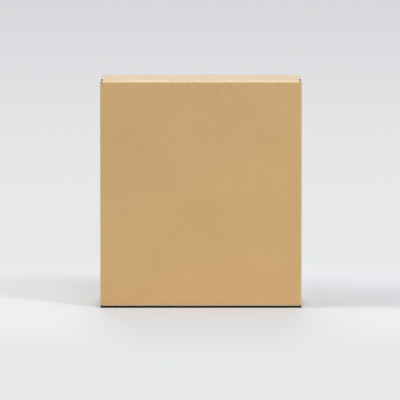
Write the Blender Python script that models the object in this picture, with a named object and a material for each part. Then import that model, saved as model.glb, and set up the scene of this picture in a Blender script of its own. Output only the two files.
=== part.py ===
# A straight tuck end carton of corrugated kraft board, standing upright.
# Four panels make a glued tube. Each end is closed by a lid hinged on the front panel, whose tuck flap
# slides inside the back panel, over two dust flaps hinged on the side panels.
# World axes: +X to the right, -Y towards the viewer of the front panel, +Z up.
# The origin is the middle of the rectangle that the carton stands on.

import math

import bmesh
import bpy
from mathutils import Matrix, Vector

# Outside size of the closed carton
CARTON_WIDTH = 0.200
CARTON_DEPTH = 0.080
CARTON_HEIGHT = 0.225

# The board: two liners with a fluted medium between them
BOARD_THICKNESS = 0.0015
LINER_THICKNESS = 0.0002
MEDIUM_THICKNESS = 0.00015
FLUTE_PITCH = 0.0034
INNER_FOLD_RADIUS = 0.0005
FOLD_SEGMENTS = 8
FIT_GAP = 0.0003  # between pieces that meet at a fold or lie on each other

# Lids
LID_SIDE_INSET = 0.0008
LID_FOLD_INNER_RADIUS = 0.0015
LID_CORNER_RADIUS = 0.004
HINGE_NOTCH_DEPTH = 0.0015  # cut into the lid's sides beside the hinge, past the fold's ends
HINGE_NOTCH_PEAK = 0.008  # from the fold to the notch's deepest place
HINGE_NOTCH_LENGTH = 0.020
HINGE_NOTCH_RADIUS = 0.0008
SLIT_LENGTH = 0.012  # of the slit lock at each end of the tuck fold

# Tuck flaps
TUCK_LENGTH = 0.018
TUCK_LEAN = math.radians(16)  # inwards from the back panel
TUCK_SIDE_GAP = 0.0005  # to the glue flap
TUCK_SIDE_TAPER = 0.0015
TUCK_CORNER_RADIUS = 0.010

# Dust flaps
DUST_LENGTH = 0.058
DUST_FRONT_RELIEF = 0.012
DUST_FRONT_TAPER = 0.003
DUST_TUCK_GAP = 0.0005
DUST_CORNER_RADIUS = 0.006

# Tube
BACK_EDGE_DROP = 0.0008  # raw edge of the back panel below the lid's face
GLUE_FLAP_WIDTH = 0.018
GLUE_FLAP_DROP = 0.006  # from the carton's end to the flap's end at its fold
GLUE_FLAP_TAPER = math.radians(30)
GLUE_FLAP_CORNER_RADIUS = 0.0028
BACK_LEFT_RELIEF = 0.005  # open height of the corner fold, from the carton's end
# Each front corner's cut slants across the corner's fold and on along the side panel's edge
CORNER_CUT_FRONT_DROP = 0.0008  # from the carton's end to the cut, at the front panel
CORNER_CUT_SIDE_DROP = 0.0016  # the same, at the side panel
TOP_LEFT_CUT_SIDE_DROP = 0.0045
CORNER_CUT_LENGTH = 0.005  # along the side panel's edge

CORNER_SEGMENTS = 8
CUT_OVERRUN = 0.002  # by which every cutter passes the faces it cuts

# Worked out from the sizes above
FOLD_RADIUS = INNER_FOLD_RADIUS + BOARD_THICKNESS
LID_FOLD_RADIUS = LID_FOLD_INNER_RADIUS + BOARD_THICKNESS
HALF_WIDTH = CARTON_WIDTH / 2
HALF_DEPTH = CARTON_DEPTH / 2
HALF_HEIGHT = CARTON_HEIGHT / 2
RIGHT_ANGLE = math.pi / 2
SIDE_FOLD_X = HALF_WIDTH - FOLD_RADIUS
FRONT_FOLD_Y = FOLD_RADIUS - HALF_DEPTH
LID_FOLD_Y = LID_FOLD_RADIUS - HALF_DEPTH
BACK_FOLD_Y = HALF_DEPTH - FOLD_RADIUS
TUCK_FOLD_Y = BACK_FOLD_Y - BOARD_THICKNESS - FIT_GAP
GLUE_FOLD_X = SIDE_FOLD_X - BOARD_THICKNESS - FIT_GAP
LID_FOLD_DROP = LID_FOLD_RADIUS
TUCK_FOLD_DROP = FOLD_RADIUS
DUST_FOLD_DROP = TUCK_FOLD_DROP + BOARD_THICKNESS + FIT_GAP
FOLD_SIDE = SIDE_FOLD_X - FIT_GAP
SLIT_START = HALF_WIDTH - LID_SIDE_INSET - SLIT_LENGTH

KRAFT_OUTSIDE = (0.584, 0.366, 0.165, 1.0)
KRAFT_INSIDE = (0.500, 0.300, 0.128, 1.0)
KRAFT_FOLD = (0.640, 0.420, 0.200, 1.0)
KRAFT_ROUGHNESS = 0.82

AXIS_X = Vector((1, 0, 0))
AXIS_Y = Vector((0, 1, 0))
AXIS_Z = Vector((0, 0, 1))


def clear_scene():
    for thing in list(bpy.data.objects):
        bpy.data.objects.remove(thing, do_unlink=True)


def make_collection(name):
    collection = bpy.data.collections.new(name)
    bpy.context.scene.collection.children.link(collection)
    return collection


def board_material(name, colour):
    material = bpy.data.materials.new(name)
    material.use_nodes = True
    shader = material.node_tree.nodes["Principled BSDF"]
    shader.inputs["Base Color"].default_value = colour
    shader.inputs["Roughness"].default_value = KRAFT_ROUGHNESS
    shader.inputs["Metallic"].default_value = 0
    return material


def rounded_outline(corners):
    # Each corner is (across, along, radius); a radius of zero keeps it sharp.
    points = []
    for index, (across, along, radius) in enumerate(corners):
        corner = Vector((across, along))
        if radius == 0:
            points.append(corner)
            continue
        before = (Vector(corners[index - 1][:2]) - corner).normalized()
        after = (Vector(corners[(index + 1) % len(corners)][:2]) - corner).normalized()
        half_angle = before.angle(after) / 2
        centre = corner + (before + after).normalized() * radius / math.sin(half_angle)
        first = corner + before * radius / math.tan(half_angle) - centre
        last = corner + after * radius / math.tan(half_angle) - centre
        turn = first.angle_signed(last)
        for step in range(CORNER_SEGMENTS + 1):
            spoke = first.copy()
            spoke.rotate(Matrix.Rotation(-turn * step / CORNER_SEGMENTS, 2))
            points.append(centre + spoke)
    return points


def mirrored_outline(right_half):
    # The right half's corners run from the fold outwards; the left half is their reflection.
    left_half = [(-across, along, radius) for across, along, radius in reversed(right_half)]
    return rounded_outline(right_half + left_half)


def fold_section(sweep, inner_radius):
    # The section of a fold round the origin, from +Y on its outside towards +X.
    outer_radius = inner_radius + BOARD_THICKNESS
    outer = [(outer_radius, sweep * step / FOLD_SEGMENTS) for step in range(FOLD_SEGMENTS + 1)]
    inner = [(inner_radius, angle) for _, angle in reversed(outer)]
    return [Vector((radius * math.sin(angle), radius * math.cos(angle))) for radius, angle in outer + inner]


def extruded_mesh(name, outline, thickness, middle):
    # A closed outline in the XY plane becomes a plate whose mid-plane is at the height middle.
    curve = bpy.data.curves.new(name, "CURVE")
    curve.dimensions = "2D"
    curve.fill_mode = "BOTH"
    curve.extrude = thickness / 2
    spline = curve.splines.new("POLY")
    spline.points.add(len(outline) - 1)
    for point, place in zip(spline.points, outline):
        point.co = (place.x, place.y, 0, 1)
    spline.use_cyclic_u = True
    drawing = bpy.data.objects.new(name, curve)
    bpy.context.scene.collection.objects.link(drawing)
    bpy.context.view_layer.update()
    evaluated = drawing.evaluated_get(bpy.context.evaluated_depsgraph_get())
    mesh = bpy.data.meshes.new_from_object(evaluated)
    bpy.data.objects.remove(drawing, do_unlink=True)
    bpy.data.curves.remove(curve)
    shape = bmesh.new()
    shape.from_mesh(mesh)
    bmesh.ops.remove_doubles(shape, verts=shape.verts, dist=LINER_THICKNESS / 10)
    bmesh.ops.translate(shape, verts=shape.verts, vec=(0, 0, middle))
    bmesh.ops.recalc_face_normals(shape, faces=shape.faces)
    shape.to_mesh(mesh)
    shape.free()
    mesh.name = name
    return mesh


def frame_matrix(origin, along, outward):
    # Local Y runs along the flutes, local Z points out of the outer liner.
    across = along.cross(outward)
    turn = Matrix((across, along, outward)).transposed()
    return Matrix.Translation(origin) @ turn.to_4x4()


def add_piece(name, mesh, matrix, parent, colour):
    piece = bpy.data.objects.new(name, mesh)
    parts.objects.link(piece)
    mesh.materials.clear()
    mesh.materials.append(board_material(name, colour))
    piece.parent = parent
    piece.matrix_world = matrix
    bpy.context.view_layer.update()
    return piece


def add_board(name, outline, outer_face, matrix, parent, colour=KRAFT_OUTSIDE):
    # A flat piece of board whose outer liner lies at the local height outer_face.
    mesh = extruded_mesh(name, outline, BOARD_THICKNESS, outer_face - BOARD_THICKNESS / 2)
    return add_piece(name, mesh, matrix, parent, colour)


def cut_flutes(board, outer_face):
    # Rows of three-sided channels on both sides of the medium, open at the board's raw ends.
    corners = [Vector(corner) for corner in board.bound_box]
    low_across = min(corner.x for corner in corners)
    high_across = max(corner.x for corner in corners)
    low_along = min(corner.y for corner in corners) - CUT_OVERRUN
    high_along = max(corner.y for corner in corners) + CUT_OVERRUN
    core_height = BOARD_THICKNESS - 2 * LINER_THICKNESS
    slope = math.atan2(core_height, FLUTE_PITCH / 2)
    half_foot = (FLUTE_PITCH - MEDIUM_THICKNESS / math.sin(slope)) / 2
    channel_height = half_foot * math.tan(slope)
    under_outer_liner = outer_face - LINER_THICKNESS
    over_inner_liner = outer_face - BOARD_THICKNESS + LINER_THICKNESS
    middle = (low_across + high_across) / 2
    count = math.floor((high_across - low_across) / FLUTE_PITCH)
    shape = bmesh.new()
    for row in range(2 * count - 1):
        centre = middle + (row - count + 1) * FLUTE_PITCH / 2
        if row % 2 == 0:
            foot, peak = under_outer_liner, under_outer_liner - channel_height
        else:
            foot, peak = over_inner_liner, over_inner_liner + channel_height
        section = ((centre - half_foot, foot), (centre + half_foot, foot), (centre, peak))
        end = shape.faces.new([shape.verts.new((across, low_along, height)) for across, height in section])
        walls = bmesh.ops.extrude_face_region(shape, geom=[end])
        moved = [part for part in walls["geom"] if isinstance(part, bmesh.types.BMVert)]
        bmesh.ops.translate(shape, verts=moved, vec=(0, high_along - low_along, 0))
    bmesh.ops.recalc_face_normals(shape, faces=shape.faces)
    name = board.name + "_flutes"
    mesh = bpy.data.meshes.new(name)
    shape.to_mesh(mesh)
    shape.free()
    cutter = bpy.data.objects.new(name, mesh)
    cutters.objects.link(cutter)
    cutter.matrix_world = board.matrix_world
    cutter.hide_render = True
    cutter.display_type = "WIRE"
    boolean = board.modifiers.new("flutes", "BOOLEAN")
    boolean.operation = "DIFFERENCE"
    boolean.solver = "EXACT"
    boolean.object = cutter


def add_fold(name, centre, onward, outward, length, parent, sweep=RIGHT_ANGLE, radius=INNER_FOLD_RADIUS):
    # A bend: its outer face looks outward at the start and turns from there to look onward.
    mesh = extruded_mesh(name, fold_section(sweep, radius), length, 0)
    mesh.shade_smooth()
    mesh.set_sharp_from_angle(angle=math.radians(30))
    turn = Matrix((onward, outward, onward.cross(outward))).transposed()
    return add_piece(name, mesh, Matrix.Translation(centre) @ turn.to_4x4(), parent, KRAFT_FOLD)


def rectangle(low_across, high_across, low_along, high_along):
    return [
        Vector((low_across, low_along)),
        Vector((high_across, low_along)),
        Vector((high_across, high_along)),
        Vector((low_across, high_along)),
    ]


def side_outline(flip, back_side, top_cut_drop):
    # At each end: the front corner's slanting cut, the raw edge on the crease line and the dust flap's fold.
    fold_height = HALF_HEIGHT - DUST_FOLD_DROP - FIT_GAP
    crease_height = HALF_HEIGHT - DUST_FOLD_DROP + bend_axis(RIGHT_ANGLE, FOLD_RADIUS)[0]
    front_side = FRONT_FOLD_Y + FIT_GAP
    flap_side = FRONT_FOLD_Y + DUST_FRONT_RELIEF - FIT_GAP
    outline = []
    for end, cut_drop in ((1, top_cut_drop), (-1, CORNER_CUT_SIDE_DROP)):
        corners = [
            Vector((flip * front_side, end * (HALF_HEIGHT - cut_drop))),
            Vector((flip * (front_side + CORNER_CUT_LENGTH), end * crease_height)),
            Vector((flip * flap_side, end * crease_height)),
            Vector((flip * flap_side, end * fold_height)),
            Vector((flip * back_side, end * fold_height)),
        ]
        outline += corners if end > 0 else reversed(corners)
    return outline


def make_tube():
    tube = bpy.data.objects.new("tube_middle", None)
    parts.objects.link(tube)
    front_height = HALF_HEIGHT - LID_FOLD_DROP - FIT_GAP
    back_height = HALF_HEIGHT - BACK_EDGE_DROP
    middle = AXIS_Z * HALF_HEIGHT

    outline = rectangle(-FOLD_SIDE, FOLD_SIDE, -front_height, front_height)
    add_board("front_panel", outline, HALF_DEPTH, frame_matrix(middle, AXIS_Z, -AXIS_Y), tube)

    # Seen along its outward side, the back panel's glue fold is on the left.
    outline = rectangle(FIT_GAP - GLUE_FOLD_X, FOLD_SIDE, -back_height, back_height)
    back = add_board("back_panel", outline, HALF_DEPTH, frame_matrix(middle, AXIS_Z, AXIS_Y), tube)
    cut_flutes(back, HALF_DEPTH)

    # Seen from outside, the left panel's front edge is on the right, and the right panel's on the left.
    outline = side_outline(-1, BACK_FOLD_Y - FIT_GAP, TOP_LEFT_CUT_SIDE_DROP)
    add_board("left_side_panel", outline, HALF_WIDTH, frame_matrix(middle, AXIS_Z, -AXIS_X), tube)

    # The right side panel's raw back edge covers the glue flap's fold.
    outline = side_outline(1, HALF_DEPTH - FIT_GAP, CORNER_CUT_SIDE_DROP)
    add_board("right_side_panel", outline, HALF_WIDTH, frame_matrix(middle, AXIS_Z, AXIS_X), tube)

    glue_height = HALF_HEIGHT - GLUE_FLAP_DROP
    tapered_height = glue_height - GLUE_FLAP_WIDTH * math.tan(GLUE_FLAP_TAPER)
    fold_side = BACK_FOLD_Y - FIT_GAP
    free_side = fold_side - GLUE_FLAP_WIDTH
    outline = rounded_outline(
        [
            (fold_side, -glue_height, 0),
            (fold_side, glue_height, 0),
            (free_side, tapered_height, GLUE_FLAP_CORNER_RADIUS),
            (free_side, -tapered_height, GLUE_FLAP_CORNER_RADIUS),
        ]
    )
    glue_face = GLUE_FOLD_X + FOLD_RADIUS
    matrix = frame_matrix(middle, AXIS_Z, AXIS_X)
    glue_flap = add_board("glue_flap", outline, glue_face, matrix, tube, KRAFT_INSIDE)
    cut_flutes(glue_flap, glue_face)
    make_corner_folds(tube, 2 * glue_height)
    return tube


def slant_ends(fold, rises):
    # Each end's cut recedes evenly round the bend, by its rise in all; the first rise is the lower end's.
    for vert in fold.data.vertices:
        share = math.atan2(vert.co.x, vert.co.y) / RIGHT_ANGLE
        upper = (fold.matrix_world @ vert.co).z > HALF_HEIGHT
        inwards = fold.matrix_world.col[2].z * (-1 if upper else 1)
        vert.co.z += inwards * rises[upper] * share


def make_corner_folds(tube, glue_fold_length):
    front_length = CARTON_HEIGHT - 2 * CORNER_CUT_FRONT_DROP
    bottom_rise = CORNER_CUT_SIDE_DROP - CORNER_CUT_FRONT_DROP
    for side, way, side_drop in (("left", -1, TOP_LEFT_CUT_SIDE_DROP), ("right", 1, CORNER_CUT_SIDE_DROP)):
        centre = Vector((way * SIDE_FOLD_X, FRONT_FOLD_Y, HALF_HEIGHT))
        fold = add_fold("front_" + side + "_corner_fold", centre, way * AXIS_X, -AXIS_Y, front_length, tube)
        slant_ends(fold, (bottom_rise, side_drop - CORNER_CUT_FRONT_DROP))
    centre = Vector((-SIDE_FOLD_X, BACK_FOLD_Y, HALF_HEIGHT))
    length = CARTON_HEIGHT - 2 * BACK_LEFT_RELIEF
    add_fold("back_left_corner_fold", centre, -AXIS_X, AXIS_Y, length, tube)
    centre = Vector((GLUE_FOLD_X, BACK_FOLD_Y, HALF_HEIGHT))
    add_fold("back_right_glue_fold", centre, AXIS_X, AXIS_Y, glue_fold_length, tube)


def bend_axis(sweep, radius):
    # Where a fold's ends turn about so that opening it by sweep lays them in one plane, with the outer
    # liner at its full length: (back along the flap, outwards from the bend's centre).
    half_length = radius * sweep / 2
    return half_length, half_length / math.tan(sweep / 2)


def make_lid(end, up, tube):
    outward = AXIS_Z * up
    centre = Vector((0, LID_FOLD_Y, HALF_HEIGHT + up * (HALF_HEIGHT - LID_FOLD_DROP)))
    name = end + "_lid_fold"
    add_fold(name, centre, outward, -AXIS_Y, 2 * FOLD_SIDE, tube, radius=LID_FOLD_INNER_RADIUS)
    back, out = bend_axis(RIGHT_ANGLE, LID_FOLD_RADIUS)
    hinge = centre - AXIS_Y * back + outward * out
    start = back + FIT_GAP
    tuck_start = back + TUCK_FOLD_Y - LID_FOLD_Y
    side = HALF_WIDTH - LID_SIDE_INSET
    outline = mirrored_outline(
        [
            (FOLD_SIDE, start, 0),
            (FOLD_SIDE - HINGE_NOTCH_DEPTH, start + HINGE_NOTCH_PEAK, HINGE_NOTCH_RADIUS),
            (side, start + HINGE_NOTCH_LENGTH, HINGE_NOTCH_RADIUS),
            (side, tuck_start + FOLD_RADIUS, LID_CORNER_RADIUS),
            (SLIT_START + FIT_GAP, tuck_start + FOLD_RADIUS, 0),
            (SLIT_START + FIT_GAP, tuck_start - FIT_GAP, 0),
        ]
    )
    matrix = frame_matrix(hinge, AXIS_Y, outward)
    return add_board(end + "_lid", outline, LID_FOLD_RADIUS - out, matrix, tube)


def make_tuck_flap(end, up, lid):
    outward = AXIS_Z * up
    sweep = RIGHT_ANGLE + TUCK_LEAN
    centre = Vector((0, TUCK_FOLD_Y, HALF_HEIGHT + up * (HALF_HEIGHT - TUCK_FOLD_DROP)))
    add_fold(end + "_tuck_fold", centre, AXIS_Y, outward, 2 * SLIT_START, lid, sweep)
    back, out = bend_axis(sweep, FOLD_RADIUS)
    hinge = centre + AXIS_Y * back + outward * out
    along = -AXIS_Y * math.sin(TUCK_LEAN) - outward * math.cos(TUCK_LEAN)
    flap_outward = AXIS_Y * math.cos(TUCK_LEAN) - outward * math.sin(TUCK_LEAN)
    start = back + FIT_GAP
    fold_side = GLUE_FOLD_X + INNER_FOLD_RADIUS - TUCK_SIDE_GAP
    tip = start + TUCK_LENGTH
    outline = mirrored_outline(
        [(fold_side, start, 0), (fold_side - TUCK_SIDE_TAPER, tip, TUCK_CORNER_RADIUS)]
    )
    matrix = frame_matrix(hinge, along, flap_outward)
    flap = add_board(end + "_tuck_flap", outline, FOLD_RADIUS - out, matrix, lid)
    cut_flutes(flap, FOLD_RADIUS - out)
    return flap


def make_dust_flap(end, up, side, way, tube):
    outward = AXIS_Z * up
    height = HALF_HEIGHT + up * (HALF_HEIGHT - DUST_FOLD_DROP)
    front = FRONT_FOLD_Y + DUST_FRONT_RELIEF
    # The back edge follows the lean of the tuck flap's inner face, and so passes it when the flap swings.
    tuck_inner_y = TUCK_FOLD_Y + INNER_FOLD_RADIUS * math.cos(TUCK_LEAN)
    depth_below_tuck_fold = DUST_FOLD_DROP - TUCK_FOLD_DROP
    back = tuck_inner_y - depth_below_tuck_fold * math.tan(TUCK_LEAN) - DUST_TUCK_GAP
    back_at_tip = back - DUST_LENGTH * math.tan(TUCK_LEAN)
    centre = Vector((way * SIDE_FOLD_X, (front + back) / 2, height))
    add_fold("_".join((end, side, "dust_fold")), centre, outward, way * AXIS_X, back - front, tube)
    hinge = Vector((way * SIDE_FOLD_X, 0, height))
    start = FIT_GAP
    flip = way * up
    outline = rounded_outline(
        [
            (flip * front, start, 0),
            (flip * (front + DUST_FRONT_TAPER), start + DUST_LENGTH, DUST_CORNER_RADIUS),
            (flip * back_at_tip, start + DUST_LENGTH, DUST_CORNER_RADIUS),
            (flip * back, start, 0),
        ]
    )
    matrix = frame_matrix(hinge, -way * AXIS_X, outward)
    flap = add_board("_".join((end, side, "dust_flap")), outline, FOLD_RADIUS, matrix, tube)
    cut_flutes(flap, FOLD_RADIUS)
    return flap


clear_scene()
parts = make_collection("tuck_end_carton")
cutters = make_collection("flute_cutters")
carton_tube = make_tube()
for carton_end, upwards in (("top", 1), ("bottom", -1)):
    carton_lid = make_lid(carton_end, upwards, carton_tube)
    make_tuck_flap(carton_end, upwards, carton_lid)
    for carton_side, sideways in (("left", -1), ("right", 1)):
        make_dust_flap(carton_end, upwards, carton_side, sideways, carton_tube)
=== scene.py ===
import math

import bmesh
import bpy
from mathutils import Matrix, Vector, noise
from mathutils.geometry import intersect_point_line


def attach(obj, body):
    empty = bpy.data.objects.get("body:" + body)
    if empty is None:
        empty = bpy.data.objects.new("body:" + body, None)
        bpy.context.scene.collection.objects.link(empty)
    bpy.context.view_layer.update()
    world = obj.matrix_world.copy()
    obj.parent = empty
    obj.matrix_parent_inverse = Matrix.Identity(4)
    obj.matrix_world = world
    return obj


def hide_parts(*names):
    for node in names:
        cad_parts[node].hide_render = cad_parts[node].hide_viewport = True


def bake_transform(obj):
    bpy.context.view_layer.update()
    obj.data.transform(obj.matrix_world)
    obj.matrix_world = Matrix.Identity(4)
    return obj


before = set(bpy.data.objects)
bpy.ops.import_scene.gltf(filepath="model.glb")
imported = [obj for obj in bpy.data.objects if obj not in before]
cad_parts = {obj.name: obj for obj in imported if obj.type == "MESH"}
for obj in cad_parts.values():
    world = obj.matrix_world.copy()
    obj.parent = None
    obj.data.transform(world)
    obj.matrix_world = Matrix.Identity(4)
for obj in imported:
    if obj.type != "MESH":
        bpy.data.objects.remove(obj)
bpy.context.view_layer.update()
print("frame loaded")

toRight = Vector((1, 0, 0))
toBack = Vector((0, 1, 0))
toSky = Vector((0, 0, 1))
rightAngle = math.pi / 2
tiny = 0.000001  # metres or radians that count as nothing
sharpAngle = math.radians(35)  # edges bent more than this are shaded as sharp

carton = {"width": 0.200, "depth": 0.080, "height": 0.225}  # outside sizes of the closed carton

board = {
    "thickness": 0.0015,
    "liner": 0.0002,
    "medium": 0.00015,
    "flutePitch": 0.0034,
    "flutePress": 0.000005,  # how far each flute bites into the liners
    "stepsPerFlute": 12,
    "mediumInset": 0.00003,  # from the board's edge in to the medium's
    "columnGap": 0.00001,  # from a corner of the outline to the medium's columns on both sides of it
    "cutPinch": 0.22,  # share of the thickness lost along a die-cut edge
    "pinchReach": 0.0008,
    "ringWidths": (1.0, 0.6),  # of the rings of faces that carry the pinch, as shares of its reach
    "cornerSteps": 8,
    "jointGap": 0.0003,  # the CAD solids stop this short of each other, and the folds bridge it
}

fold = {
    "innerRadius": 0.0005,
    "lidInnerRadius": 0.0015,
    "steps": 24,
    "mediumSteps": 10,
    "mediumStepsPerFlute": 8,
    "segmentLength": 0.0025,  # along the fold
    "dent": 0.00010,  # deepest uneven dent
    "dentLength": 0.011,
    "dentShift": 40,  # how fast the pattern of dents changes from fold to fold
    "highlightFade": (0.14, 0.48),  # shares of the bend between which the painted highlight grows to its full paleness
    "paleShare": 0.15,  # how pale the liner is at the middle of a bend
}

halfWidth = carton["width"] / 2
halfDepth = carton["depth"] / 2
halfHeight = carton["height"] / 2
foldRadius = fold["innerRadius"] + board["thickness"]
lidFoldRadius = fold["lidInnerRadius"] + board["thickness"]
gap = board["jointGap"]
cornerArc = foldRadius * rightAngle

sideFoldX = halfWidth - foldRadius
frontFoldY = foldRadius - halfDepth
lidFoldY = lidFoldRadius - halfDepth
backFoldY = halfDepth - foldRadius
tuckFoldY = backFoldY - board["thickness"] - gap
glueFoldX = sideFoldX - board["thickness"] - gap
lidFoldDrop = lidFoldRadius
tuckFoldDrop = foldRadius
dustFoldDrop = tuckFoldDrop + board["thickness"] + gap
foldSide = sideFoldX - gap

# Where each panel lies on the flat blank, so that fibres and flutes run on from panel to panel
sideBlank = sideFoldX + cornerArc + backFoldY
backBlank = -(sideFoldX + cornerArc + 2 * backFoldY + cornerArc + sideFoldX)
glueBlank = backBlank - glueFoldX - cornerArc - backFoldY
lidBlank = halfHeight - lidFoldDrop
dustBlank = halfHeight - dustFoldDrop


def addNode(tree, kind, place, **settings):
    node = tree.nodes.new(kind)
    node.location = place
    for name, value in settings.items():
        setattr(node, name, value)
    return node


def feed(tree, socket, value):
    if isinstance(value, bpy.types.NodeSocket):
        tree.links.new(value, socket)
    else:
        socket.default_value = value


def addMix(tree, place, factor, first, second, blendType="MIX"):
    mix = addNode(tree, "ShaderNodeMix", place, data_type="RGBA", blend_type=blendType)
    feed(tree, mix.inputs[0], factor)
    feed(tree, mix.inputs[6], first)
    feed(tree, mix.inputs[7], second)
    return mix.outputs[2]


def addMath(tree, place, operation, first, second=0.5, third=0.5):
    worked = addNode(tree, "ShaderNodeMath", place, operation=operation)
    for socket, value in zip(worked.inputs, (first, second, third)):
        feed(tree, socket, value)
    return worked.outputs[0]


def addRange(tree, place, value, low, high, toLow, toHigh):
    ranged = addNode(tree, "ShaderNodeMapRange", place, interpolation_type="SMOOTHSTEP")
    tree.links.new(value, ranged.inputs[0])
    for socket, number in zip(ranged.inputs[1:5], (low, high, toLow, toHigh)):
        socket.default_value = number
    return ranged.outputs[0]


pulp = {
    "broad": {"scale": 14, "detail": 2},
    "cloud": {"scale": 150, "detail": 4},
    "fibreAlong": {"scale": 4200, "detail": 2, "stretch": (0.13, 1, 1), "turn": 0.10},
    "fibreAcross": {"scale": 3600, "detail": 2, "stretch": (0.16, 1, 1), "turn": -0.35},
    "grit": {"scale": 2500, "detail": 3},
    "noiseRoughness": 0.55,
    "broadShare": 0.6,
    "cloudShare": 0.4,
    "cloudRange": (0.36, 0.64),
    "fibreRange": (0.50, 0.70),
    "speckCells": 230,
    "speckRange": (0.55, 1.0),  # of a cell's random value, over which its speck grows from nothing
    "speckReach": 0.09,  # of the largest speck, in cells
    "printTone": 0.02,
    "paintedShadeAcross": 0.45,
    "paintedShadeAlong": -0.9,
    "paintedShadeRange": (-0.20, 0.20),
    "roughness": 0.60,
    "fibreRoughness": -0.08,  # what a fibre adds
    "fibreHeight": 0.35,
    "gritHeight": 0.45,
    "cloudHeight": 0.35,
    "printHeight": 0.30,
}

pulpSockets = {
    "pale": "Pale",
    "deep": "Deep",
    "cloud": "Cloud",
    "fibre": "Fibre",
    "speck": "Speck",
    "flutePrint": "Flute Print",
    "paintedShade": "Painted Shade",
}


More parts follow.
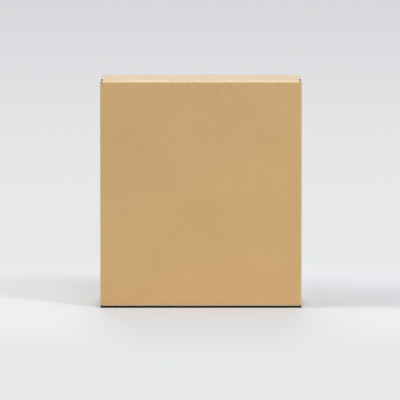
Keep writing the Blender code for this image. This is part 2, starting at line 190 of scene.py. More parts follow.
def makeKraftGroup():
    # Pulp clouds, long fibres, dark specks, the faint print of the flutes, and a painted shade across the
    # blank.
    group = bpy.data.node_groups.new("kraftPulp", "ShaderNodeTree")
    sockets = group.interface
    sockets.new_socket("Blank", in_out="INPUT", socket_type="NodeSocketVector")
    for setting, socketName in pulpSockets.items():
        kind = "NodeSocketColor" if setting in ("pale", "deep") else "NodeSocketFloat"
        sockets.new_socket(socketName, in_out="INPUT", socket_type=kind)
    sockets.new_socket("Colour", in_out="OUTPUT", socket_type="NodeSocketColor")
    sockets.new_socket("Roughness", in_out="OUTPUT", socket_type="NodeSocketFloat")
    sockets.new_socket("Height", in_out="OUTPUT", socket_type="NodeSocketFloat")
    given = addNode(group, "NodeGroupInput", (-1400, 0))
    result = addNode(group, "NodeGroupOutput", (900, 0))

    def addNoise(place, chosen):
        mapping = addNode(group, "ShaderNodeMapping", (place[0] - 200, place[1]))
        group.links.new(given.outputs["Blank"], mapping.inputs["Vector"])
        mapping.inputs["Rotation"].default_value = (0, 0, chosen.get("turn", 0))
        mapping.inputs["Scale"].default_value = chosen.get("stretch", (1, 1, 1))
        texture = addNode(group, "ShaderNodeTexNoise", place)
        texture.inputs["Scale"].default_value = chosen["scale"]
        texture.inputs["Detail"].default_value = chosen["detail"]
        texture.inputs["Roughness"].default_value = pulp["noiseRoughness"]
        group.links.new(mapping.outputs[0], texture.inputs["Vector"])
        return texture.outputs[0]

    broad = addNoise((-900, 500), pulp["broad"])
    cloud = addNoise((-900, 300), pulp["cloud"])
    fibreAlong = addNoise((-900, 100), pulp["fibreAlong"])
    fibreAcross = addNoise((-900, -100), pulp["fibreAcross"])
    grit = addNoise((-900, -300), pulp["grit"])

    cloudShare = addMath(group, (-600, 400), "MULTIPLY_ADD", broad, pulp["broadShare"], 0)
    cloudShare = addMath(group, (-450, 400), "MULTIPLY_ADD", cloud, pulp["cloudShare"], cloudShare)
    cloudShare = addRange(group, (-300, 400), cloudShare, *pulp["cloudRange"], 0, 1)
    fibreShare = addMath(group, (-600, 0), "MAXIMUM", fibreAlong, fibreAcross)
    fibreShare = addRange(group, (-450, 0), fibreShare, *pulp["fibreRange"], 0, 1)

    cells = addNode(group, "ShaderNodeTexVoronoi", (-900, -550), feature="F1")
    cells.inputs["Scale"].default_value = pulp["speckCells"]
    group.links.new(given.outputs["Blank"], cells.inputs["Vector"])
    speckSize = addNode(group, "ShaderNodeSeparateColor", (-650, -650))
    group.links.new(cells.outputs["Color"], speckSize.inputs[0])
    speckReach = addRange(
        group, (-450, -650), speckSize.outputs[0], *pulp["speckRange"], 0, pulp["speckReach"]
    )
    speck = addMath(group, (-250, -550), "LESS_THAN", cells.outputs["Distance"], speckReach)

    split = addNode(group, "ShaderNodeSeparateXYZ", (-900, -850))
    group.links.new(given.outputs["Blank"], split.inputs[0])
    across, along = split.outputs[0], split.outputs[1]
    phase = addMath(group, (-700, -850), "MULTIPLY", across, 2 * math.pi / board["flutePitch"])
    ripple = addMath(group, (-500, -850), "COSINE", phase)

    # Colour
    clouded = addMath(group, (-100, 400), "MULTIPLY", cloudShare, given.outputs["Cloud"])
    colour = addMix(group, (100, 400), clouded, given.outputs["Pale"], given.outputs["Deep"])
    fibred = addMath(group, (-100, 200), "MULTIPLY", fibreShare, given.outputs["Fibre"])
    colour = addMix(group, (300, 300), fibred, colour, given.outputs["Pale"], "SCREEN")
    specked = addMath(group, (-100, 0), "MULTIPLY", speck, given.outputs["Speck"])
    colour = addMix(group, (500, 200), specked, colour, given.outputs["Deep"], "MULTIPLY")
    printed = addMath(group, (-100, -850), "MULTIPLY", ripple, given.outputs["Flute Print"])
    printTone = addMath(group, (100, -850), "MULTIPLY_ADD", printed, pulp["printTone"], 1)
    # Painted shade: a ramp that darkens the colour towards the blank's left and top and lightens it towards
    # its right and bottom
    paintedShade = addMath(group, (-700, -1050), "MULTIPLY_ADD", across, pulp["paintedShadeAcross"], 0)
    paintedShade = addMath(group, (-500, -1050), "MULTIPLY_ADD", along, pulp["paintedShadeAlong"], paintedShade)
    paintedShade = addRange(group, (-300, -1050), paintedShade, *pulp["paintedShadeRange"], -0.5, 0.5)
    paintedShadeTone = addMath(group, (-100, -1050), "MULTIPLY_ADD", paintedShade, given.outputs["Painted Shade"], 1)
    bothTones = addMath(group, (300, -850), "MULTIPLY", printTone, paintedShadeTone)
    toned = addNode(group, "ShaderNodeVectorMath", (700, 200), operation="SCALE")
    group.links.new(colour, toned.inputs[0])
    group.links.new(bothTones, toned.inputs["Scale"])
    group.links.new(toned.outputs[0], result.inputs["Colour"])

    # Roughness and height
    roughness = addMath(
        group, (300, -100), "MULTIPLY_ADD", fibreShare, pulp["fibreRoughness"], pulp["roughness"]
    )
    group.links.new(roughness, result.inputs["Roughness"])
    height = addMath(group, (100, -300), "MULTIPLY_ADD", fibreShare, pulp["fibreHeight"], 0)
    height = addMath(group, (250, -300), "MULTIPLY_ADD", grit, pulp["gritHeight"], height)
    height = addMath(group, (400, -300), "MULTIPLY_ADD", cloud, pulp["cloudHeight"], height)
    height = addMath(group, (550, -300), "MULTIPLY_ADD", printed, pulp["printHeight"], height)
    group.links.new(height, result.inputs["Height"])
    return group


kraftPulp = makeKraftGroup()

papers = {
    "kraftLiner": {
        "pale": (0.598, 0.376, 0.158, 1),
        "deep": (0.556, 0.344, 0.140, 1),
        "cloud": 0.7,
        "fibre": 0.05,
        "speck": 0.30,
        "flutePrint": 0.25,
        "paintedShade": 0.12,
        "bump": 0.20,
        "gloss": 0.45,
        "sheen": 0.30,
    },
    "innerLiner": {
        "pale": (0.520, 0.322, 0.142, 1),
        "deep": (0.440, 0.262, 0.108, 1),
        "cloud": 1.0,
        "fibre": 0.07,
        "speck": 0.5,
        "flutePrint": 0.6,
        "paintedShade": 0.12,
        "bump": 0.30,
        "gloss": 0.45,
        "sheen": 0.30,
    },
    "flutedMedium": {
        "pale": (0.320, 0.196, 0.090, 1),
        "deep": (0.230, 0.138, 0.060, 1),
        "cloud": 1.0,
        "fibre": 0.08,
        "speck": 0.5,
        "flutePrint": 0.0,
        "paintedShade": 0.00,
        "bump": 0.35,
        "gloss": 0.10,
        "sheen": 0.00,
    },
    # Raw edges: darker as raw kraft is, and darker still as painted shade, so the slots at the corners look
    # dark
    "cutEdge": {
        "pale": (0.330, 0.207, 0.098, 1),
        "deep": (0.235, 0.144, 0.065, 1),
        "cloud": 1.0,
        "fibre": 0.12,
        "speck": 0.2,
        "flutePrint": 0.0,
        "paintedShade": 0.00,
        "bump": 0.45,
        "gloss": 0.10,
        "sheen": 0.00,
    },
    "creasedLiner": {
        "pale": (0.598, 0.376, 0.158, 1),
        "deep": (0.556, 0.344, 0.140, 1),
        "cloud": 0.7,
        "fibre": 0.06,
        "speck": 0.30,
        "flutePrint": 0.25,
        "paintedShade": 0.12,
        "bump": 0.30,
        "gloss": 0.45,
        "sheen": 0.30,
        "crease": (0.900, 0.720, 0.470, 1),  # the liner goes pale where it is stretched, and this colour also paints the highlight along the lids' folds
    },
}

surface = {
    "sheenRoughness": 0.45,
    "sheenTint": (1.0, 0.96, 0.78, 1),
    "bumpHeight": 0.00008,
    "patchScale": 260,
    "patchDetail": 3,
    "patchRange": (0.3, 0.7),
    "faintestPatch": 0.70,  # share of a crease's paleness and painted highlight in its faintest patches
}


def makePaper(name):
    chosen = papers[name]
    material = bpy.data.materials.new(name)
    material.use_nodes = True
    tree = material.node_tree
    shader = tree.nodes["Principled BSDF"]
    shader.inputs["Specular IOR Level"].default_value = chosen["gloss"]
    shader.inputs["Sheen Weight"].default_value = chosen["sheen"]
    shader.inputs["Sheen Roughness"].default_value = surface["sheenRoughness"]
    shader.inputs["Sheen Tint"].default_value = surface["sheenTint"]
    place = addNode(tree, "ShaderNodeUVMap", (-900, 0), uv_map="blank")
    mixed = addNode(tree, "ShaderNodeGroup", (-650, 0), node_tree=kraftPulp)
    tree.links.new(place.outputs[0], mixed.inputs["Blank"])
    for setting, socketName in pulpSockets.items():
        mixed.inputs[socketName].default_value = chosen[setting]
    colour = mixed.outputs["Colour"]
    # Crease colour: the liner's real paleness where it is stretched, plus the painted highlight along the
    # lids' folds, in uneven patches
    if "crease" in chosen:
        paleAttribute = addNode(tree, "ShaderNodeAttribute", (-650, -350), attribute_name="crease")
        patches = addNode(tree, "ShaderNodeTexNoise", (-650, -550))
        patches.inputs["Scale"].default_value = surface["patchScale"]
        patches.inputs["Detail"].default_value = surface["patchDetail"]
        tree.links.new(place.outputs[0], patches.inputs["Vector"])
        uneven = addRange(
            tree, (-450, -550), patches.outputs[0], *surface["patchRange"], surface["faintestPatch"], 1
        )
        paleShare = addMath(tree, (-450, -350), "MULTIPLY", paleAttribute.outputs["Fac"], uneven)
        colour = addMix(tree, (-250, 100), paleShare, colour, chosen["crease"])
    tree.links.new(colour, shader.inputs["Base Color"])
    tree.links.new(mixed.outputs["Roughness"], shader.inputs["Roughness"])
    bump = addNode(tree, "ShaderNodeBump", (-250, -250))
    bump.inputs["Strength"].default_value = chosen["bump"]
    bump.inputs["Distance"].default_value = surface["bumpHeight"]
    tree.links.new(mixed.outputs["Height"], bump.inputs["Height"])
    tree.links.new(bump.outputs[0], shader.inputs["Normal"])
    return material


paperOrder = list(papers)
paperMaterials = [makePaper(name) for name in paperOrder]
print("papers mixed:", len(paperMaterials))


def smoothStep(share):
    share = min(1, max(0, share))
    return share * share * (3 - 2 * share)


def placeOf(origin, along, outward):
    # Local Y runs along the flutes, local Z points out of the outer liner.
    turn = Matrix((along.cross(outward), along, outward)).transposed()
    return Matrix.Translation(origin) @ turn.to_4x4()


def vertsOf(geom):
    return [part for part in geom if isinstance(part, bmesh.types.BMVert)]


def extrudeOn(shape, geom, shift):
    grown = bmesh.ops.extrude_face_region(shape, geom=geom)["geom"]
    bmesh.ops.translate(shape, verts=vertsOf(grown), vec=shift)
    return grown


def joinLayer(shape, layer, paper):
    # Paints a finished layer of the board and adds it to the rest, by way of a spare mesh.
    bmesh.ops.recalc_face_normals(layer, faces=layer.faces)
    for face in layer.faces:
        face.material_index = paperOrder.index(paper)
    spare = bpy.data.meshes.new("layer")
    layer.to_mesh(spare)
    layer.free()
    shape.from_mesh(spare)
    bpy.data.meshes.remove(spare)


def finishPiece(name, shape, nodeName):
    mesh = bpy.data.meshes.new(name)
    shape.to_mesh(mesh)
    shape.free()
    for material in paperMaterials:
        mesh.materials.append(material)
    mesh.shade_smooth()
    mesh.set_sharp_from_angle(angle=sharpAngle)
    piece = bpy.data.objects.new(name, mesh)
    bpy.context.scene.collection.objects.link(piece)
    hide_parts(nodeName)
    return piece


def roundCorners(shape, corners):
    for vert, (_, _, radius, _) in zip(shape.verts[:], corners):
        if radius:
            first, last = [edge.other_vert(vert).co - vert.co for edge in vert.link_edges]
            bmesh.ops.bevel(
                shape,
                geom=[vert],
                offset=radius / math.tan(first.angle(last) / 2),
                offset_type="OFFSET",
                affect="VERTICES",
                segments=board["cornerSteps"],
                profile=0.5,
                material=-1,
            )


def isOnFold(point, folds):
    for start, end in folds:
        nearest, share = intersect_point_line(point, start, end)
        if 0 <= share <= 1 and (Vector(nearest[:2]) - point).length < tiny:
            return True
    return False


def spanAt(outline, across):
    # Lowest and highest point of an outline on the line at this distance across it.
    found = []
    for start, end in outline:
        if (start.x - across) * (end.x - across) < 0:
            share = (across - start.x) / (end.x - start.x)
            found.append(start.y + share * (end.y - start.y))
    return min(found), max(found)


def addMedium(shape, outline, level, blankStart, blankWay):
    # The fluted sheet between the liners, as long at each place as the outline is.
    corners = sorted(point.x for edge in outline for point in edge)
    step = board["flutePitch"] / board["stepsPerFlute"]
    count = int((corners[-1] - corners[0]) / step)
    columns = [corner + way * board["columnGap"] for corner in corners for way in (-1, 1)]
    columns += [corners[0] + (index + 0.5) * step for index in range(count)]
    columns = sorted({round(column, 6) for column in columns if corners[0] < column < corners[-1]})
    rows = 3
    medium = bmesh.new()
    bmesh.ops.create_grid(medium, x_segments=len(columns) - 1, y_segments=rows, size=0.5)
    swing = (board["thickness"] - 2 * board["liner"] - board["medium"]) / 2 + board["flutePress"]
    inset = board["mediumInset"]
    for vert in medium.verts:
        column = round((vert.co.x + 0.5) * (len(columns) - 1))
        row = round((vert.co.y + 0.5) * rows)
        across = columns[column]
        low, high = spanAt(outline, across)
        reach = min(board["pinchReach"], (high - low) / rows)
        along = (low + inset, low + reach, high - reach, high - inset)[row]
        phase = 2 * math.pi * (blankStart + blankWay * across) / board["flutePitch"]
        vert.co = (across, along, level + swing * math.cos(phase))
    bmesh.ops.solidify(medium, geom=medium.faces[:], thickness=board["medium"])
    heights = [vert.co.z for vert in medium.verts]
    settle = level - (min(heights) + max(heights)) / 2
    bmesh.ops.translate(medium, verts=medium.verts, vec=(0, 0, settle))
    joinLayer(shape, medium, "flutedMedium")


def pinchEdges(shape, cuts, level):
    # A die squeezes the board along every edge it cuts.
    for vert in shape.verts:
        flat = Vector((vert.co.x, vert.co.y))
        nearest = board["pinchReach"]
        for start, end in cuts:
            point, share = intersect_point_line(flat, start, end)
            point = start if share < 0 else end if share > 1 else Vector(point[:2])
            nearest = min(nearest, (flat - point).length)
        squeeze = board["cutPinch"] * smoothStep(1 - nearest / board["pinchReach"])
        vert.co.z = level + (vert.co.z - level) * (1 - squeeze)


def makeBoard(nodeName, body, corners, face, place, blank, slotName="kraft_board"):
    # Corners hold (across, along, radius, kind of the edge that follows); face is the outer liner's height;
    # blank says where the board's origin lies on the flat blank, and which way its own axes run there.
    blankStart, blankWay = blank
    shape = bmesh.new()
    shape.faces.new([shape.verts.new((across, along, face)) for across, along, _, _ in corners])
    roundCorners(shape, corners)
    shape.normal_update()  # without a normal the first inset moves nothing
    outline = [(Vector(edge.verts[0].co[:2]), Vector(edge.verts[1].co[:2])) for edge in shape.edges]
    folds = []
    for index, (across, along, _, kind) in enumerate(corners):
        if kind == "fold":
            folds.append((Vector((across, along)), Vector(corners[(index + 1) % len(corners)][:2])))
    cuts = [(start, end) for start, end in outline if not isOnFold((start + end) / 2, folds)]

    # The two liners, the inner one a copy of the outer one
    for share in board["ringWidths"]:
        middleFace = max(shape.faces, key=lambda candidate: candidate.calc_area())
        bmesh.ops.inset_region(
            shape,
            faces=[middleFace],
            thickness=board["pinchReach"] * share,
            use_boundary=True,
            use_even_offset=True,
        )
    extrudeOn(shape, shape.faces[:], (0, 0, -board["liner"]))
    bmesh.ops.recalc_face_normals(shape, faces=shape.faces)
    copied = bmesh.ops.duplicate(shape, geom=shape.verts[:] + shape.edges[:] + shape.faces[:])["geom"]
    bmesh.ops.translate(shape, verts=vertsOf(copied), vec=(0, 0, board["liner"] - board["thickness"]))
    level = face - board["thickness"] / 2
    for patch in shape.faces:
        height = patch.calc_center_median().z
        outside = abs(height - level) > board["thickness"] / 2 - board["liner"] / 4
        if not outside:
            patch.material_index = paperOrder.index("cutEdge")
        elif height > level and slotName != "kraft_inside":
            patch.material_index = paperOrder.index("kraftLiner")
        else:
            patch.material_index = paperOrder.index("innerLiner")

    addMedium(shape, outline, level, blankStart[0], blankWay[0])
    if cuts:
        pinchEdges(shape, cuts, level)
    layer = shape.loops.layers.uv.new("blank")
    for patch in shape.faces:
        for loop in patch.loops:
            loop[layer].uv = (
                blankStart[0] + blankWay[0] * loop.vert.co.x,
                blankStart[1] + blankWay[1] * loop.vert.co.y,
            )
    bmesh.ops.transform(shape, matrix=place, verts=shape.verts)
    piece = finishPiece(nodeName + "_board", shape, nodeName)
    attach(piece, body)


def panelCorners(lowAcross, highAcross, halfAlong, ends="fold"):
    return [
        (lowAcross, -halfAlong, 0, ends),
        (highAcross, -halfAlong, 0, "fold"),
        (highAcross, halfAlong, 0, ends),
        (lowAcross, halfAlong, 0, "fold"),
    ]


def mirroredCorners(rightHalf):
    # The right half runs from the hinge to the free edge; each entry's kind belongs to the edge after it.
    leftHalf = []
    kinds = [kind for _, _, _, kind in rightHalf]
    for index in range(len(rightHalf) - 1, -1, -1):
        across, along, radius, _ = rightHalf[index]
        leftHalf.append((-across, along, radius, kinds[index - 1] if index else "fold"))
    return rightHalf + leftHalf


def bendAxis(sweep, radius):
    # Where the joint lies from the bend's end: (back along the flap, outwards from the bend's centre).
    halfLength = radius * sweep / 2
    return halfLength, halfLength / math.tan(sweep / 2)


def makeFold(nodeName, bodies, centre, lead, outward, span, sweep, blankOf, inner, slants=None, paintedHighlight=0):
    # A strip that starts facing outward, bends round centre towards lead, and has a short flat at each end.
    # Slants, at its low and its high end, recede evenly round the bend on an unfluted strip.
    # A painted highlight pales the bend towards its end.
    low, high = span
    axis = outward.cross(lead)
    endWay = lead * math.cos(sweep) - outward * math.sin(sweep)
    shape = bmesh.new()
    outerRadius = inner + board["thickness"]
    liner = board["liner"]

    def bentStrip(lowRadius, highRadius, wave, count, steps, paper):
        # One layer: its section is a row of quads across the fold, swept round the bend.
        strip = bmesh.new()
        bmesh.ops.create_grid(strip, x_segments=count, y_segments=1, size=0.5)
        for vert in strip.verts:
            place = low + (vert.co.x + 0.5) * (high - low)
            radius = highRadius if vert.co.y > 0 else lowRadius
            if wave:
                radius += wave * math.cos(2 * math.pi * blankOf(place, 0)[0] / board["flutePitch"])
            vert.co = centre + axis * place + outward * radius - lead * gap
        bent = bmesh.ops.spin(
            strip,
            geom=extrudeOn(strip, strip.faces[:], lead * gap),
            cent=centre,
            axis=axis,
            angle=sweep,
            steps=steps,
            use_merge=False,
            use_duplicate=False,
        )
        extrudeOn(strip, bent["geom_last"], endWay * gap)
        bmesh.ops.remove_doubles(strip, verts=strip.verts, dist=tiny)
        joinLayer(shape, strip, paper)

    length = high - low
    count = math.ceil(length / fold["segmentLength"])
    bentStrip(outerRadius - liner, outerRadius, 0, count, fold["steps"], "creasedLiner")
    bentStrip(inner, inner + liner, 0, count, fold["steps"], "innerLiner")
    middleRadius = inner + board["thickness"] / 2
    if slants is None:
        swing = (board["thickness"] - 2 * liner - board["medium"]) / 2
        columns = math.ceil(length / board["flutePitch"] * fold["mediumStepsPerFlute"])
    else:
        swing = 0
        columns = 1
    bentStrip(
        middleRadius - board["medium"] / 2,
        middleRadius + board["medium"] / 2,
        swing,
        columns,
        fold["mediumSteps"],
        "flutedMedium",
    )

    # Where each vertex lies along the fold and round it
    layer = shape.loops.layers.uv.new("blank")
    crease = shape.verts.layers.float.new("crease")
    highlightStart, highlightFull = fold["highlightFade"]
    turns = {}
    for vert in shape.verts:
        offset = vert.co - centre
        place, ahead, out = offset.dot(axis), offset.dot(lead), offset.dot(outward)
        angle = math.atan2(ahead, out)
        if ahead < 0 and out > 0:
            arc = ahead
        elif angle > sweep - tiny or angle < -rightAngle:
            arc = outerRadius * sweep + offset.dot(endWay)
        else:
            arc = outerRadius * angle
        share = min(1, max(0, arc / (outerRadius * sweep)))
        if slants is not None:
            along = (place - low) / length
            shift = share * (slants[0] * (1 - along) - slants[1] * along)
            vert.co += axis * shift
            offset += axis * shift
            place += shift
        turns[vert] = (place, arc)
        bulge = math.sin(math.pi * share) ** 2
        # Painted highlight towards the bend's end, beside the liner's real paleness at mid-bend
        highlightShare = paintedHighlight * smoothStep((share - highlightStart) / (highlightFull - highlightStart)) if share < 1 else 0
        vert[crease] = max(fold["paleShare"] * bulge, highlightShare)
        if bulge > 0:
            along = place / fold["dentLength"]
            seed = centre * fold["dentShift"]
            depth = 0.5 + 0.5 * noise.noise(Vector((along, seed.x, seed.z)))
            radial = offset - axis * place
            vert.co -= radial * fold["dent"] * depth * bulge / outerRadius
    for face in shape.faces:
        for loop in face.loops:
            loop[layer].uv = blankOf(*turns[loop.vert])
        if face.material_index == paperOrder.index("creasedLiner"):
            offsets = [vert.co - centre for vert in face.verts]
            furthest = max((offset - axis * offset.dot(axis)).length for offset in offsets)
            atEnd = abs(face.normal.dot(axis)) > 0.5
            if atEnd or furthest < outerRadius - liner / 2:
                face.material_index = paperOrder.index("cutEdge")

    piece = finishPiece(nodeName + "_strip", shape, nodeName)
    if len(bodies) == 1:
        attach(piece, bodies[0])
    else:
        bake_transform(piece)


dust = {
    "length": 0.058,
    "frontRelief": 0.012,
    "frontTaper": 0.003,
    "tuckGap": 0.0005,
    "cornerRadius": 0.006,
}

tube = {
    "backEdgeDrop": 0.0008,
    "glueFlapWidth": 0.018,
    "glueFlapDrop": 0.006,
    "glueFlapTaper": math.radians(30),
    "glueCornerRadius": 0.0028,
    "backLeftRelief": 0.005,
    "cutFrontDrop": 0.0008,  # from the carton's end to each front corner's slanting cut, at the front panel
    "cutSideDrop": 0.0016,  # the same, at the side panel
    "topLeftCutSideDrop": 0.0045,
    "cutLength": 0.005,  # along the side panel's edge
}

middle = toSky * halfHeight
frontHeight = halfHeight - lidFoldDrop - gap
backHeight = halfHeight - tube["backEdgeDrop"]
sideReach = backFoldY - gap


def sideCorners(flip, backSide, topCutDrop, backKind):
    # At each end: the front corner's slanting cut, the raw edge on the crease line and the dust flap's fold.
    foldHeight = halfHeight - dustFoldDrop - gap
    creaseHeight = halfHeight - dustFoldDrop + bendAxis(rightAngle, foldRadius)[0]
    frontSide = frontFoldY + gap
    flapSide = frontFoldY + dust["frontRelief"] - gap
    corners = []
    for end, cutDrop in ((1, topCutDrop), (-1, tube["cutSideDrop"])):
        half = [
            (flip * frontSide, end * (halfHeight - cutDrop), "cut"),
            (flip * (frontSide + tube["cutLength"]), end * creaseHeight, "cut"),
            (flip * flapSide, end * creaseHeight, "cut"),
            (flip * flapSide, end * foldHeight, "fold"),
            (flip * backSide, end * foldHeight, backKind),
        ]
        if end < 0:
            kinds = ["fold"] + [kind for _, _, kind in half[:-1]]
            half = [(across, along, kind) for (across, along, _), kind in zip(half, kinds)]
            half.reverse()
        corners += [(across, along, 0, kind) for across, along, kind in half]
    return corners


makeBoard(
    "front_panel",
    "tube",
    panelCorners(-foldSide, foldSide, frontHeight),
    halfDepth,
    placeOf(middle, toSky, -toBack),
    ((0, 0), (1, 1)),
)
makeBoard(
    "back_panel",
    "tube",
    panelCorners(gap - glueFoldX, foldSide, backHeight, "cut"),
    halfDepth,
    placeOf(middle, toSky, toBack),
    ((backBlank, 0), (1, 1)),
)
makeBoard(
    "left_side_panel",
    "tube",
    sideCorners(-1, sideReach, tube["topLeftCutSideDrop"], "fold"),
    halfWidth,
    placeOf(middle, toSky, -toRight),
    ((-sideBlank, 0), (1, 1)),
)
makeBoard(
    "right_side_panel",
    "tube",
    sideCorners(1, halfDepth - gap, tube["cutSideDrop"], "cut"),
    halfWidth,
    placeOf(middle, toSky, toRight),
    ((sideBlank, 0), (1, 1)),
)

glueHeight = halfHeight - tube["glueFlapDrop"]
taperedHeight = glueHeight - tube["glueFlapWidth"] * math.tan(tube["glueFlapTaper"])
freeSide = sideReach - tube["glueFlapWidth"]
makeBoard(
    "glue_flap",
    "tube",
    [
        (sideReach, -glueHeight, 0, "fold"),
        (sideReach, glueHeight, 0, "cut"),
        (freeSide, taperedHeight, tube["glueCornerRadius"], "cut"),
        (freeSide, -taperedHeight, tube["glueCornerRadius"], "cut"),
    ],
    glueFoldX + foldRadius,
    placeOf(middle, toSky, toRight),
    ((glueBlank, 0), (1, 1)),
    "kraft_inside",
)


def makeUprightFold(nodeName, foldPlace, lead, outward, drop, blankStart, blankWay, slants=(0, 0)):
    # Slants here are at the bottom and the top.
    zWay = outward.cross(lead).z  # the fold's axis points up or down
    makeFold(
        nodeName,
        ["tube"],
        Vector((*foldPlace, 0)),
        lead,
        outward,
        sorted((zWay * drop, zWay * (carton["height"] - drop))),
        rightAngle,
        lambda place, arc: (blankStart + blankWay * arc, zWay * place - halfHeight),
        fold["innerRadius"],
        slants if zWay > 0 else slants[::-1],
    )


frontDrop = tube["cutFrontDrop"]
for side, way, sideDrop in (("left", -1, tube["topLeftCutSideDrop"]), ("right", 1, tube["cutSideDrop"])):
    makeUprightFold(
        "front_" + side + "_corner_fold",
        (way * sideFoldX, frontFoldY),
        way * toRight,
        -toBack,
        frontDrop,
        way * sideFoldX,
        way,
        (tube["cutSideDrop"] - frontDrop, sideDrop - frontDrop),
    )
makeUprightFold(
    "back_left_corner_fold",
    (-sideFoldX, backFoldY),
    -toRight,
    toBack,
    tube["backLeftRelief"],
    backBlank + sideFoldX,
    1,
)
makeUprightFold(
    "back_right_glue_fold",
    (glueFoldX, backFoldY),
    toRight,
    toBack,
    tube["glueFlapDrop"],
    backBlank - glueFoldX,
    -1,
)
print("tube folded")


lid = {
    "sideInset": 0.0008,
    "cornerRadius": 0.004,
    "notchDepth": 0.0015,  # cut into the lid's sides beside the hinge, past the fold's ends
    "notchPeak": 0.008,  # from the fold to the notch's deepest place
    "notchLength": 0.020,
    "slitLength": 0.012,
    # strength of the painted highlight along each lid's fold
    "topHighlight": 1.0,
    "bottomHighlight": 0.9,
}

slitStart = halfWidth - lid["sideInset"] - lid["slitLength"]


def makeLid(end, up):
    outward = toSky * up
    centre = Vector((0, lidFoldY, halfHeight + up * (halfHeight - lidFoldDrop)))
    xWay = (-toBack).cross(outward).x
    makeFold(
        end + "_lid_fold",
        ["tube", end + "_lid"],
        centre,
        outward,
        -toBack,
        (-foldSide, foldSide),
        rightAngle,
        lambda place, arc: (xWay * place, up * (lidBlank + arc)),
        fold["lidInnerRadius"],
        paintedHighlight=lid[end + "Highlight"],
    )
    back, out = bendAxis(rightAngle, lidFoldRadius)
    hinge = centre - toBack * back + outward * out
    start = back + gap
    tuckStart = back + tuckFoldY - lidFoldY
    lidSide = halfWidth - lid["sideInset"]
    blankStart = lidBlank + lidFoldRadius * rightAngle - back
    corners = mirroredCorners(
        [
            (foldSide, start, 0, "cut"),
            (foldSide - lid["notchDepth"], start + lid["notchPeak"], 0, "cut"),
            (lidSide, start + lid["notchLength"], 0, "cut"),
            (lidSide, tuckStart + foldRadius, lid["cornerRadius"], "cut"),
            (slitStart + gap, tuckStart + foldRadius, 0, "cut"),
            (slitStart + gap, tuckStart - gap, 0, "fold"),
        ]
    )
    makeBoard(
        end + "_lid",
        end + "_lid",
        corners,
        lidFoldRadius - out,
        placeOf(hinge, toBack, outward),
        ((0, up * blankStart), (up, up)),
    )
    return up * (blankStart + tuckStart)  # where the tuck fold starts on the blank


tuck = {
    "length": 0.018,
    "lean": math.radians(16),
    "sideGap": 0.0005,
    "sideTaper": 0.0015,
    "cornerRadius": 0.010,
}


def makeTuckFlap(end, up, blankStart):
    outward = toSky * up
    sweep = rightAngle + tuck["lean"]
    centre = Vector((0, tuckFoldY, halfHeight + up * (halfHeight - tuckFoldDrop)))
    xWay = outward.cross(toBack).x
    makeFold(
        end + "_tuck_fold",
        [end + "_lid", end + "_tuck_flap"],
        centre,
        toBack,
        outward,
        (-slitStart, slitStart),
        sweep,
        lambda place, arc: (xWay * place, blankStart + up * arc),
        fold["innerRadius"],
    )
    back, out = bendAxis(sweep, foldRadius)
    hinge = centre + toBack * back + outward * out
    along = -toBack * math.sin(tuck["lean"]) - outward * math.cos(tuck["lean"])
    flapOutward = toBack * math.cos(tuck["lean"]) - outward * math.sin(tuck["lean"])
    start = back + gap
    tuckSide = glueFoldX + fold["innerRadius"] - tuck["sideGap"]
    corners = mirroredCorners(
        [
            (tuckSide, start, 0, "cut"),
            (tuckSide - tuck["sideTaper"], start + tuck["length"], tuck["cornerRadius"], "cut"),
        ]
    )
    makeBoard(
        end + "_tuck_flap",
        end + "_tuck_flap",
        corners,
        foldRadius - out,
        placeOf(hinge, along, flapOutward),
        ((0, blankStart + up * (foldRadius * sweep - back)), (up, up)),
    )


def makeDustFlap(end, up, side, way):
    outward = toSky * up
    height = halfHeight + up * (halfHeight - dustFoldDrop)
    front = frontFoldY + dust["frontRelief"]
    tuckInnerY = tuckFoldY + fold["innerRadius"] * math.cos(tuck["lean"])
    back = tuckInnerY - (dustFoldDrop - tuckFoldDrop) * math.tan(tuck["lean"]) - dust["tuckGap"]
    backAtTip = back - dust["length"] * math.tan(tuck["lean"])
    centre = Vector((way * sideFoldX, 0, height))
    yWay = (way * toRight).cross(outward).y
    makeFold(
        "_".join((end, side, "dust_fold")),
        ["tube", "_".join((end, side, "dust_flap"))],
        centre,
        outward,
        way * toRight,
        sorted((yWay * front, yWay * back)),
        rightAngle,
        lambda place, arc: (way * (sideBlank + yWay * place), up * (dustBlank + arc)),
        fold["innerRadius"],
    )
    flip = way * up
    tip = gap + dust["length"]
    corners = [
        (flip * front, gap, 0, "cut"),
        (flip * (front + dust["frontTaper"]), tip, dust["cornerRadius"], "cut"),
        (flip * backAtTip, tip, dust["cornerRadius"], "cut"),
        (flip * back, gap, 0, "fold"),
    ]
    makeBoard(
        "_".join((end, side, "dust_flap")),
        "_".join((end, side, "dust_flap")),
        corners,
        foldRadius,
        placeOf(centre, -way * toRight, outward),
        ((way * sideBlank, up * (dustBlank + cornerArc)), (up, up)),
    )


for end, up in (("top", 1), ("bottom", -1)):
    makeTuckFlap(end, up, makeLid(end, up))
    for side, way in (("left", -1), ("right", 1)):
        makeDustFlap(end, up, side, way)
    print(end, "closure folded")


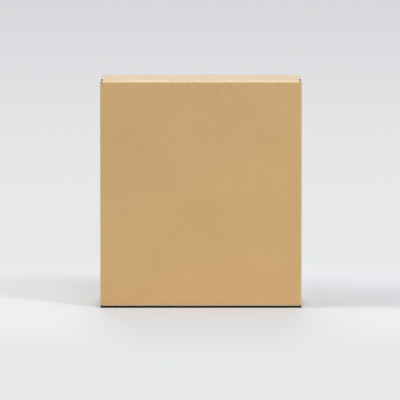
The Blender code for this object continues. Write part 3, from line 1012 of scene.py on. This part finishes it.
studio = {
    "floorSize": 16.0,
    "floorSteps": 8,
    "floorDrop": 0.0017,  # air under the carton, whose bottom never lies quite flat
    "floorRoughness": 0.70,
    "floorGloss": 0.10,
    "floorPaper": (0.806, 0.824, 0.846, 1),
    "contactShadowPaper": (0.030, 0.015, 0.008, 1),  # painted shadow under the carton, so the gap below its edges looks dark
    "contactShadowInset": (-0.0004, 0.0008),  # inwards from the carton's sides, and from its front and back
    "contactShadowFade": 0.0008,
    "shadePaper": (0.690, 0.700, 0.735, 1),  # painted shadow on the floor beside the carton's right
    "shadeSide": (0.085, 0.125),
    "shadeFront": (-0.060, -0.015),
    "shadeBack": (0.05, 0.35),
    "backdropNear": (0.790, 0.805, 0.815, 1),
    "backdropFar": (0.690, 0.690, 0.715, 1),
    "backdropStart": (0.22, 0.50),  # metres from the carton at which the lit floor gives way to the backdrop
    "backdropFade": (0.8, 5.0),
    "sky": (0.975, 0.985, 1.0, 1),
    "skyStrength": 0.45,
}

lamps = {
    "keyLight": {"from": (0.2, -8.0, 8.5), "size": 6.0, "power": 330.0},
    "rightLight": {"from": (4.0, -4.2, 4.0), "size": 2.4, "power": 140.0},
    "leftLight": {"from": (-4.2, -1.2, 3.2), "size": 3.0, "power": 48.0},
    "backLight": {"from": (-0.1, 2.6, 1.3), "size": 1.4, "power": 18.6},
    "topLight": {"from": (0.0, 1.2, 3.6), "size": 3.0, "power": 11.0},
}

lens = {
    "focalLength": 572.0,
    "sensorWidth": 36,
    "clipEnd": 100,
    "distance": 6.312,
    "elevation": math.radians(5.45),
    "aim": (-0.00096, -0.040, 0.10618),
}


def makeFloor():
    shape = bmesh.new()
    steps = studio["floorSteps"]
    bmesh.ops.create_grid(shape, x_segments=steps, y_segments=steps, size=studio["floorSize"] / 2)
    bmesh.ops.translate(shape, verts=shape.verts, vec=(0, 0, -studio["floorDrop"]))
    mesh = bpy.data.meshes.new("floor")
    shape.to_mesh(mesh)
    shape.free()
    material = bpy.data.materials.new("palePaperSweep")
    material.use_nodes = True
    tree = material.node_tree
    shader = tree.nodes["Principled BSDF"]
    output = tree.nodes["Material Output"]
    shader.inputs["Roughness"].default_value = studio["floorRoughness"]
    shader.inputs["Specular IOR Level"].default_value = studio["floorGloss"]
    place = addNode(tree, "ShaderNodeTexCoord", (-1000, 0))

    # Painted shadows: one under the carton, and a dimmer patch of floor at its right
    halves = [half - inset for half, inset in zip((halfWidth, halfDepth), studio["contactShadowInset"])]
    apart = addNode(tree, "ShaderNodeSeparateXYZ", (-800, 500))
    tree.links.new(place.outputs["Object"], apart.inputs[0])
    sides = []
    for index, half in enumerate(halves):
        beyond = addMath(tree, (-600, 500 - 150 * index), "ABSOLUTE", apart.outputs[index])
        inside = half - studio["contactShadowFade"]
        sides.append(addRange(tree, (-450, 500 - 150 * index), beyond, inside, half, 0, 1))
    outside = addMath(tree, (-300, 450), "MAXIMUM", *sides)
    aside = addRange(tree, (-600, 950), apart.outputs[0], *studio["shadeSide"], 0, 1)
    behind = addRange(tree, (-600, 1100), apart.outputs[1], *studio["shadeFront"], 0, 1)
    before = addRange(tree, (-600, 1250), apart.outputs[1], *studio["shadeBack"], 1, 0)
    shade = addMath(tree, (-450, 1000), "MULTIPLY", aside, behind)
    shade = addMath(tree, (-300, 1100), "MULTIPLY", shade, before)
    # painted shadow on the floor at the carton's right
    paper = addMix(tree, (-300, 700), shade, studio["floorPaper"], studio["shadePaper"])
    # painted contact shadow under the carton
    paper = addMix(tree, (-150, 450), outside, studio["contactShadowPaper"], paper)
    tree.links.new(paper, shader.inputs["Base Color"])

    # Painted light: farther off, the camera and glossy reflections see a glowing backdrop, dimmer with
    # distance, in place of the lit floor
    distance = addNode(tree, "ShaderNodeVectorMath", (-800, 0), operation="LENGTH")
    tree.links.new(place.outputs["Object"], distance.inputs[0])
    distance = distance.outputs["Value"]
    fade = addRange(tree, (-600, 150), distance, *studio["backdropFade"], 0, 1)
    colour = addMix(tree, (-400, 150), fade, studio["backdropNear"], studio["backdropFar"])
    glow = addNode(tree, "ShaderNodeEmission", (-100, 150))
    tree.links.new(colour, glow.inputs["Color"])
    path = addNode(tree, "ShaderNodeLightPath", (-800, -300))
    direct, glossy = path.outputs["Is Camera Ray"], path.outputs["Is Glossy Ray"]
    seen = addMath(tree, (-600, -300), "MAXIMUM", direct, glossy)
    seen = addMath(tree, (-450, -300), "MAXIMUM", seen, path.outputs["Is Transmission Ray"])
    start = addRange(tree, (-600, -100), distance, *studio["backdropStart"], 0, 1)
    share = addMath(tree, (-250, -200), "MULTIPLY", start, seen)
    blend = addNode(tree, "ShaderNodeMixShader", (150, 100))
    tree.links.new(share, blend.inputs[0])
    tree.links.new(shader.outputs[0], blend.inputs[1])
    tree.links.new(glow.outputs[0], blend.inputs[2])
    output.location = (400, 100)
    tree.links.new(blend.outputs[0], output.inputs["Surface"])
    mesh.materials.append(material)
    floor = bpy.data.objects.new("floor", mesh)
    bpy.context.scene.collection.objects.link(floor)


def makeLamps():
    target = Vector((0, 0, halfHeight))
    for name, chosen in lamps.items():
        light = bpy.data.lights.new(name, "AREA")
        light.shape = "DISK"
        light.size = chosen["size"]
        light.energy = chosen["power"]
        lamp = bpy.data.objects.new(name, light)
        lamp.location = chosen["from"]
        lamp.rotation_euler = (target - lamp.location).to_track_quat("-Z", "Y").to_euler()
        bpy.context.scene.collection.objects.link(lamp)


def makeWorld():
    world = bpy.data.worlds.new("studio")
    world.use_nodes = True
    background = world.node_tree.nodes["Background"]
    background.inputs["Color"].default_value = studio["sky"]
    background.inputs["Strength"].default_value = studio["skyStrength"]
    bpy.context.scene.world = world


def makeCamera():
    camera = bpy.data.cameras.new("camera")
    camera.lens = lens["focalLength"]
    camera.sensor_width = lens["sensorWidth"]
    camera.clip_end = lens["clipEnd"]
    viewer = bpy.data.objects.new("camera", camera)
    tilt = lens["elevation"]
    away = Vector((0, -math.cos(tilt), math.sin(tilt)))
    viewer.location = Vector(lens["aim"]) + away * lens["distance"]
    viewer.rotation_euler = (-away).to_track_quat("-Z", "Y").to_euler()
    bpy.context.scene.collection.objects.link(viewer)
    bpy.context.scene.camera = viewer


makeFloor()
makeLamps()
makeWorld()
makeCamera()
bpy.context.scene.view_settings.view_transform = "Standard"
print("studio set")
